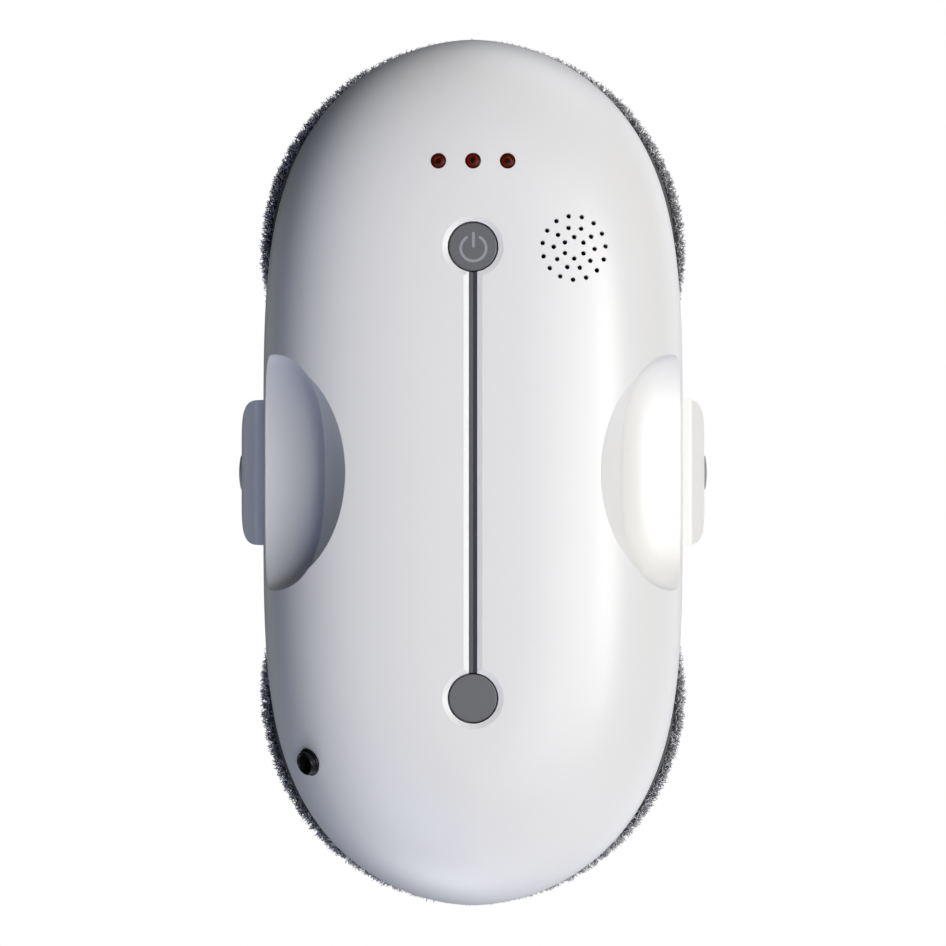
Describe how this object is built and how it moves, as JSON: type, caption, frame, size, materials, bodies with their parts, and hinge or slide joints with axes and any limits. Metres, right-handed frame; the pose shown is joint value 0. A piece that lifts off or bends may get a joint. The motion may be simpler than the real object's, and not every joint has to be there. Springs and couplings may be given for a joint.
{
  "type": "window cleaning robot",
  "caption": "Twin-disc window cleaning robot with spinning microfibre pads, central suction fan, oval gloss housing, finger recesses, side bump plungers and a backup battery.",
  "frame": {"origin": "on the glass plane under the middle of the housing, midway between the two disc centres", "axes": "+Z away from the glass, +Y along the long side towards the status lamps, +X to the side with the speaker"},
  "size_m": [0.1544, 0.2948, 0.0982],
  "materials": {
    "white_gloss": "gloss white moulded housing",
    "base_grey": "fine textured light grey base",
    "microfibre": "short looped grey microfibre",
    "hook_tape": "black hook tape",
    "dark_plastic": "dark grey satin moulding",
    "black_plastic": "black satin moulding",
    "control_grey": "mid grey satin button plastic",
    "plunger_grey": "mid grey satin plastic of the side plungers",
    "icon_grey": "pale grey inlay",
    "acetal": "natural acetal gears",
    "bush_plastic": "ivory bearing plastic",
    "felt": "dense black felt",
    "steel": "bright steel",
    "motor_can": "zinc plated motor can",
    "circuit": "green solder mask",
    "battery_wrap": "blue shrink wrap",
    "lamp_red": "dark red translucent lamp"
  },
  "bodies": {
    "housing": {"top_shell": "white_gloss", "chassis": "base_grey", "hub_bushes": "bush_plastic", "seal_rings": "felt", "upper_motor_bracket": "steel", "lower_motor_bracket": "steel", "upper_gearmotor": "motor_can", "lower_gearmotor": "motor_can", "bracket_screws": "steel", "suction_manifold": "base_grey", "fan_volute": "dark_plastic", "fan_cover": "dark_plastic", "fan_motor": "motor_can", "fan_screws": "steel", "exhaust_duct": "dark_plastic", "battery_tray": "dark_plastic", "battery_cells": "battery_wrap", "main_board": "circuit", "board_components": "black_plastic", "status_lamps": "lamp_red", "lamp_board": "circuit", "speaker": "black_plastic", "power_spring": "steel", "lower_button_spring": "steel", "button_switches": "black_plastic", "button_boards": "circuit", "centre_strip": "control_grey", "left_lug": "white_gloss", "right_lug": "white_gloss", "bump_switches": "black_plastic", "inlet_collar": "black_plastic", "inlet_jack": "black_plastic", "housing_screws": "steel", "left_plunger_spring": "steel", "right_plunger_spring": "steel"},
    "upper_disc": {"upper_carrier": "dark_plastic", "upper_pad": "microfibre", "upper_hook_ring": "hook_tape", "upper_inlet_grille": "black_plastic", "upper_ring_gear": "acetal", "upper_circlip": "steel"},
    "lower_disc": {"lower_carrier": "dark_plastic", "lower_pad": "microfibre", "lower_hook_ring": "hook_tape", "lower_inlet_grille": "black_plastic", "lower_ring_gear": "acetal", "lower_circlip": "steel"},
    "upper_pinion_shaft": {"upper_pinion": "acetal", "upper_drive_shaft": "steel"},
    "lower_pinion_shaft": {"lower_pinion": "acetal", "lower_drive_shaft": "steel"},
    "fan_rotor": {"impeller": "black_plastic", "fan_shaft": "steel"},
    "power_key": {"power_button": "control_grey", "power_icon": "icon_grey"},
    "lower_key": {"lower_button": "control_grey"},
    "left_bumper": {"left_plunger": "plunger_grey", "left_plunger_clip": "steel"},
    "right_bumper": {"right_plunger": "plunger_grey", "right_plunger_clip": "steel"}
  },
  "joints": [
    {"name": "upper_disc_spin", "type": "hinge", "parent": "housing", "child": "upper_disc", "pos_m": [0, 0.0749, 0.02], "axis": [0, 0, 1], "continuous": true},
    {"name": "lower_disc_spin", "type": "hinge", "parent": "housing", "child": "lower_disc", "pos_m": [0, -0.0749, 0.02], "axis": [0, 0, 1], "continuous": true},
    {"name": "upper_pinion_spin", "type": "hinge", "parent": "housing", "child": "upper_pinion_shaft", "pos_m": [0.03315, 0.04175, 0.028], "axis": [0, 0, 1], "continuous": true},
    {"name": "lower_pinion_spin", "type": "hinge", "parent": "housing", "child": "lower_pinion_shaft", "pos_m": [-0.03315, -0.04175, 0.028], "axis": [0, 0, 1], "continuous": true},
    {"name": "fan_spin", "type": "hinge", "parent": "housing", "child": "fan_rotor", "pos_m": [0, 0, 0.05], "axis": [0, 0, 1], "continuous": true},
    {"name": "power_press", "type": "slide", "parent": "housing", "child": "power_key", "axis": [0, 0, -1], "range_m": [0, 0.0007], "stiffness_N_per_m": 900, "springref_m": -0.0012, "deforming": ["power_spring"]},
    {"name": "lower_press", "type": "slide", "parent": "housing", "child": "lower_key", "axis": [0, 0, -1], "range_m": [0, 0.0007], "stiffness_N_per_m": 900, "springref_m": -0.0012, "deforming": ["lower_button_spring"]},
    {"name": "left_bump", "type": "slide", "parent": "housing", "child": "left_bumper", "axis": [1, 0, 0], "range_m": [0, 0.001], "stiffness_N_per_m": 500, "springref_m": -0.0012, "deforming": ["left_plunger_spring"]},
    {"name": "right_bump", "type": "slide", "parent": "housing", "child": "right_bumper", "axis": [-1, 0, 0], "range_m": [0, 0.001], "stiffness_N_per_m": 500, "springref_m": -0.0012, "deforming": ["right_plunger_spring"]}
  ],
  "couplings": [
    {"joint": "upper_pinion_spin", "follows": "upper_disc_spin", "ratio": -4},
    {"joint": "lower_pinion_spin", "follows": "lower_disc_spin", "ratio": -4}
  ]
}
